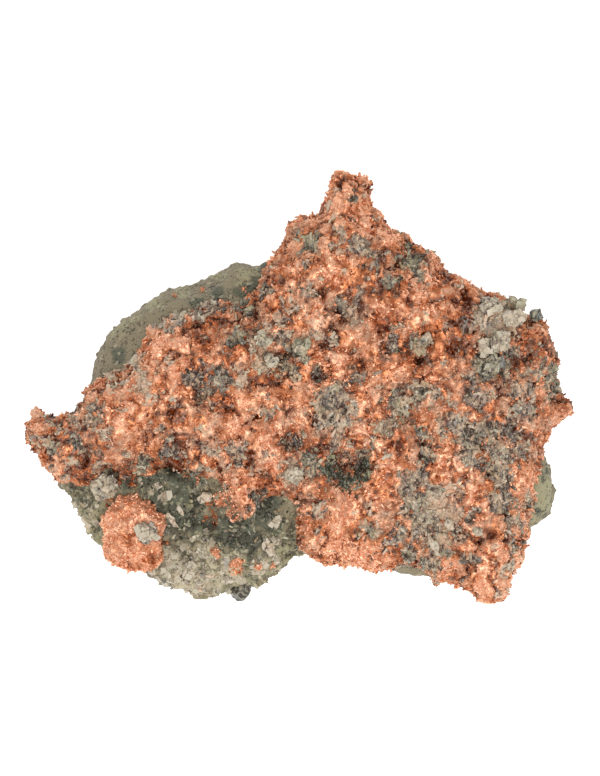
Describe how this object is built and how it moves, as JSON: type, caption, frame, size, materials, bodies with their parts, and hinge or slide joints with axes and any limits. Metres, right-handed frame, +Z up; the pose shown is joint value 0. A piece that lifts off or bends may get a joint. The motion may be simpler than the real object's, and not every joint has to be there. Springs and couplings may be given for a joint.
{
  "type": "native copper specimen on host rock",
  "caption": "Cabinet-size native copper specimen: a hackly copper crust with gangue grains and a copper boss on altered basalt, lying on the rock's broken face.",
  "frame": {"origin": "centre of the bounding box on the plane that the specimen rests on", "axes": "+Z up from the surface that it lies on to the copper, +X along its length towards the right-hand spur, +Y towards the copper tower"},
  "size_m": [0.1114, 0.0868, 0.0381],
  "materials": {
    "host_rock": "rough, weathered altered basalt",
    "native_copper": "hackly, cleaned native copper with red-brown hollows",
    "calcite": "pale, waxy broken calcite",
    "quartz": "grey, greasy massive quartz",
    "prehnite": "pale grey-green prehnite",
    "chlorite": "dark green, dull chlorite"
  },
  "bodies": {
    "root": {"host_rock": "host_rock", "copper_crust": "native_copper", "copper_boss": "native_copper", "copper_bead_1": "native_copper", "copper_bead_2": "native_copper", "copper_bead_3": "native_copper", "calcite_lath_1": "calcite", "calcite_lath_2": "calcite", "calcite_lath_3": "calcite", "calcite_lath_4": "calcite", "calcite_grain_1": "calcite", "calcite_grain_2": "calcite", "calcite_grain_3": "calcite", "calcite_grain_4": "calcite", "calcite_cluster": "calcite", "calcite_in_boss": "calcite", "calcite_blade_1": "calcite", "calcite_blade_2": "calcite", "quartz_grain_1": "quartz", "quartz_grain_2": "quartz", "quartz_grain_3": "quartz", "quartz_grain_4": "quartz", "quartz_grain_5": "quartz", "quartz_grain_6": "quartz", "prehnite_grain_1": "prehnite", "prehnite_grain_2": "prehnite", "prehnite_grain_3": "prehnite", "prehnite_grain_4": "prehnite", "chlorite_point": "chlorite", "chlorite_block": "chlorite"}
  },
  "joints": []
}
